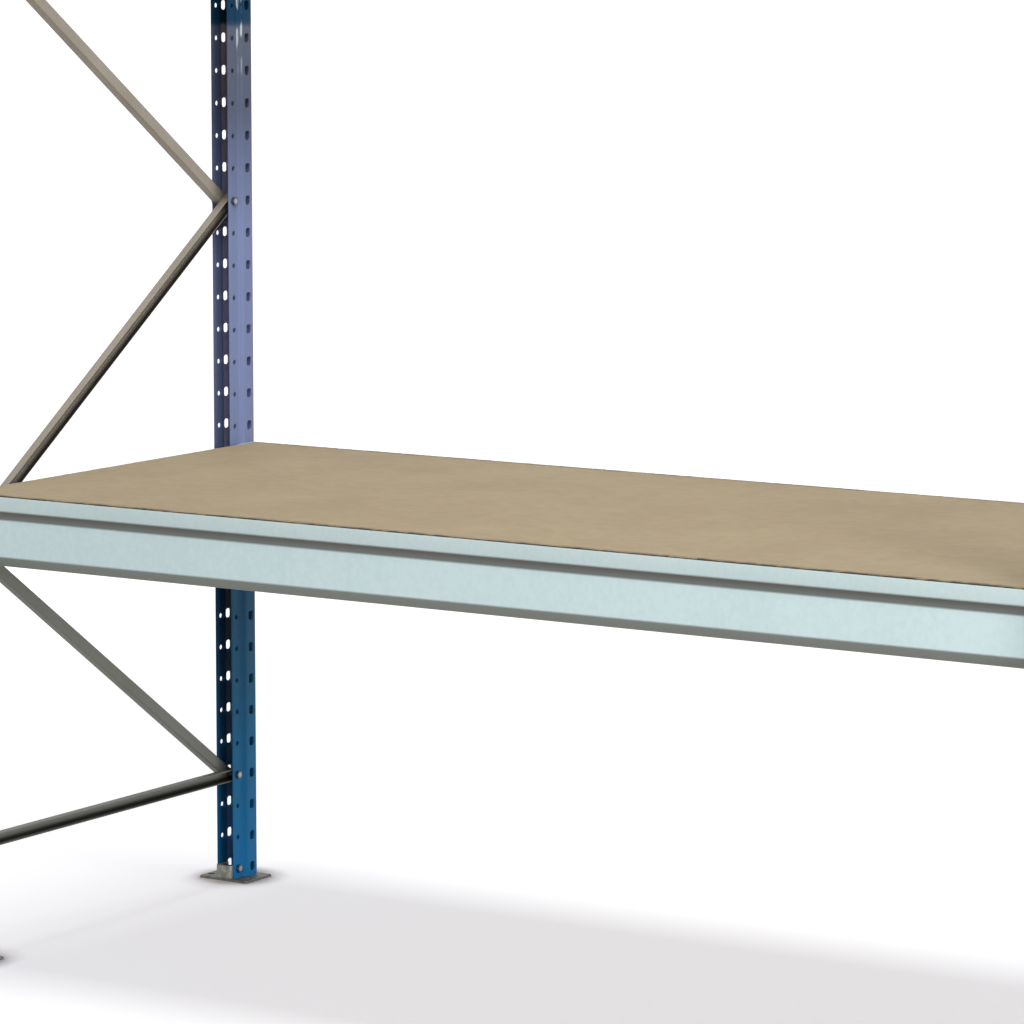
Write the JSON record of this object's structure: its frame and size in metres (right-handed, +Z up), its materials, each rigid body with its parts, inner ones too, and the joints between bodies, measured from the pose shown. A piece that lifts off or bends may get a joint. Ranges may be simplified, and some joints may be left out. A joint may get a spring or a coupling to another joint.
{
  "type": "wide span shelf",
  "caption": "Free-standing wide span shelving bay: perforated blue uprights in bolted, braced side frames, hooked step beams and a wood-based board deck, on floor plates.",
  "frame": {"origin": "on the floor under the centre of the bay", "axes": "+X along the beams to the right, -Y to the front, +Z up"},
  "size_m": [2.02, 0.814, 1.7],
  "materials": {
    "blue_coat": "blue powder coat, satin",
    "pale_coat": "light blue-grey powder coat, satin",
    "galvanised": "hot-dip galvanised strip, dull",
    "zinc_plate": "bright zinc plate",
    "board": "pressed wood-fibre board, sealed, dull"
  },
  "bodies": {
    "root": {"bottom_brace_left": "galvanised", "bottom_brace_right": "galvanised", "brace_bolts": "zinc_plate", "deck": "board", "deck_tie_left": "galvanised", "deck_tie_right": "galvanised", "end_plate_front_left": "pale_coat", "end_plate_front_right": "pale_coat", "end_plate_rear_left": "pale_coat", "end_plate_rear_right": "pale_coat", "foot_bolts": "zinc_plate", "foot_front_left": "galvanised", "foot_front_right": "galvanised", "foot_rear_left": "galvanised", "foot_rear_right": "galvanised", "front_beam": "pale_coat", "lock_pins": "zinc_plate", "lower_diagonal_left": "galvanised", "lower_diagonal_right": "galvanised", "middle_diagonal_left": "galvanised", "middle_diagonal_right": "galvanised", "rear_beam": "pale_coat", "top_brace_left": "galvanised", "top_brace_right": "galvanised", "upper_diagonal_left": "galvanised", "upper_diagonal_right": "galvanised", "upright_front_left": "blue_coat", "upright_front_right": "blue_coat", "upright_rear_left": "blue_coat", "upright_rear_right": "blue_coat"}
  },
  "joints": []
}
